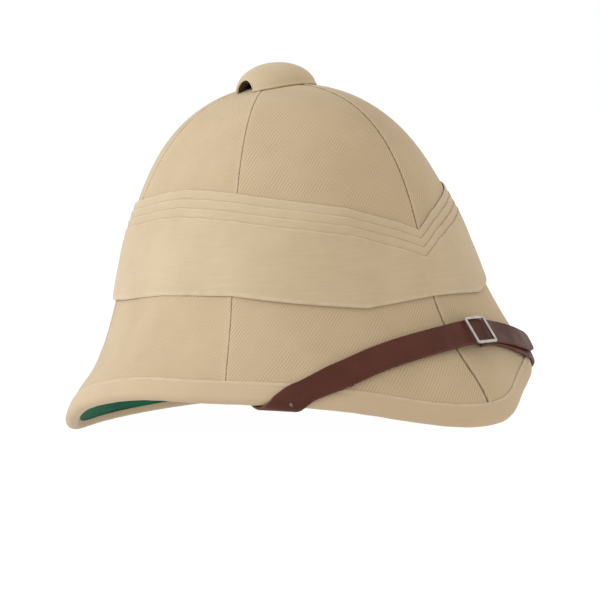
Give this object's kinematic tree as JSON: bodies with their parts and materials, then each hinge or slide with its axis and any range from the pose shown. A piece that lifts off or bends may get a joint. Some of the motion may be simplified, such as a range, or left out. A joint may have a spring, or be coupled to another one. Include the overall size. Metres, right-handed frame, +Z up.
{
  "type": "pith helmet",
  "caption": "Tan cloth-covered pith helmet with a pleated puggaree, rolled brim, vented top button and a leather chin strap stowed over the front peak.",
  "frame": {"origin": "on the floor under the middle of the helmet's length, where it stands on its front peak and rear brim", "axes": "+X towards the front peak, +Y towards the wearer's left, +Z up"},
  "size_m": [0.3158, 0.2818, 0.2246],
  "materials": {
    "pith": "matte",
    "twill": "matte",
    "band": "matte",
    "binding": "matte",
    "lining": "matte",
    "leather": "satin",
    "metal": "satin"
  },
  "bodies": {
    "root": {"shell": "pith", "lining": "lining", "panel_front_right": "twill", "panel_side_right": "twill", "panel_rear_right": "twill", "panel_rear_left": "twill", "panel_side_left": "twill", "panel_front_left": "twill", "rim_binding": "binding", "puggaree": "band", "top_button": "twill", "chin_strap_right": "leather", "chin_strap_left": "leather", "strap_slide": "metal", "strap_stud_right": "metal", "strap_stud_left": "metal"}
  },
  "joints": []
}
